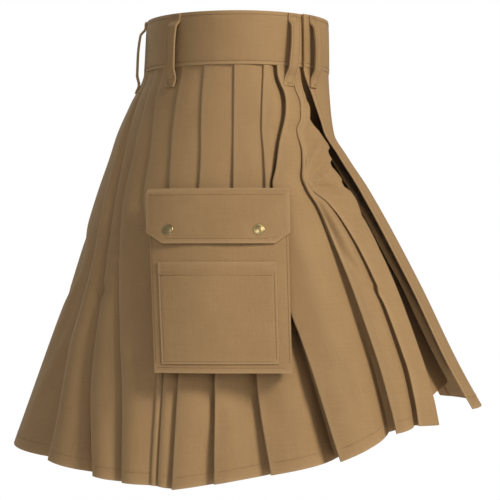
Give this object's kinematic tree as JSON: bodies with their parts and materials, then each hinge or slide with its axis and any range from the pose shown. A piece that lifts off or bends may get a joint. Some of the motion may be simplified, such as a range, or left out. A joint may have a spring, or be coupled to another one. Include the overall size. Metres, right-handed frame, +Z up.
{
  "type": "utility kilt",
  "caption": "Pleated cotton utility kilt, filled out as if worn, with a lapped front, long belt loops and cargo pockets at the hips.",
  "frame": {"origin": "centre of the waist opening, level with the waistband's top edge", "axes": "+Z up, -Y out of the front aprons, -X the wearer's right, where the outer apron's free edge lies"},
  "size_m": [0.579, 0.6186, 0.597],
  "materials": {
    "twill": "khaki-brown cotton twill, slight sheen",
    "press_studs": "polished brass caps"
  },
  "bodies": {
    "root": {"apron_outer": "twill", "apron_under": "twill", "belt_loop_apron_left": "twill", "belt_loop_apron_right": "twill", "belt_loop_back": "twill", "belt_loop_back_left": "twill", "belt_loop_back_right": "twill", "belt_loop_side_left": "twill", "belt_loop_side_right": "twill", "pleats_back_left": "twill", "pleats_back_right": "twill", "pleats_left": "twill", "pleats_right": "twill", "pocket_left_bag": "twill", "pocket_left_flap": "twill", "pocket_left_patch": "twill", "pocket_right_bag": "twill", "pocket_right_flap": "twill", "pocket_right_patch": "twill", "stud_left_back": "press_studs", "stud_left_front": "press_studs", "stud_right_back": "press_studs", "stud_right_front": "press_studs", "waistband_over": "twill", "waistband_under": "twill"}
  },
  "joints": []
}
